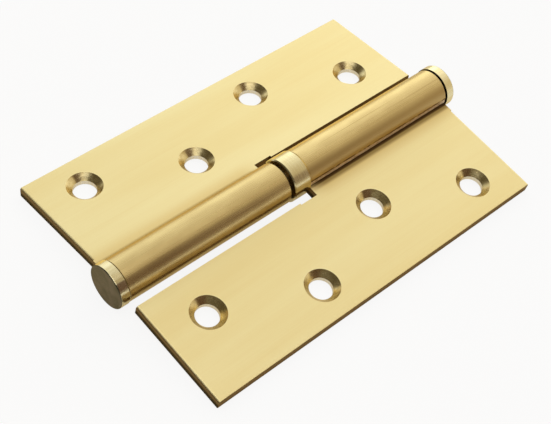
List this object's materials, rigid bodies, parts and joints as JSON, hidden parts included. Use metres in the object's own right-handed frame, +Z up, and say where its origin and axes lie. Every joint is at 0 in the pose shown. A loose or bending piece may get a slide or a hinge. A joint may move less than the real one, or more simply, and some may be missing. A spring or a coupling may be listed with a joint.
{
  "type": "lift-off hinge",
  "caption": "Lift-off butt hinge with flat rolled leaves, staggered countersunk screw holes, a fixed pin, a bearing ring and turned end caps, lying open.",
  "frame": {"origin": "on the table, under the middle of the barrel", "axes": "+X along the barrel towards the pin leaf's knuckle, +Y towards the lift leaf, +Z up out of the countersunk faces"},
  "size_m": [0.1053, 0.0696, 0.0112],
  "materials": {
    "brushed_leaf": "satin, brushed along the barrel",
    "turned_fitting": "turned, semi-bright",
    "pin_steel": "ground"
  },
  "bodies": {
    "pin_side": {"pin_leaf": "brushed_leaf", "hinge_pin": "pin_steel", "pin_leaf_cap": "turned_fitting"},
    "ring": {"bearing_ring": "turned_fitting"},
    "lift_side": {"lift_leaf": "brushed_leaf", "lift_leaf_cap": "turned_fitting"}
  },
  "joints": [
    {"name": "swing", "type": "hinge", "parent": "pin_side", "child": "ring", "pos_m": [0, 0, 0.0056], "axis": [1, 0, 0], "range_deg": [-125, 189]},
    {"name": "lift_off", "type": "slide", "parent": "ring", "child": "lift_side", "axis": [-1, 0, 0], "range_m": [-0.0009, 0.041]}
  ]
}
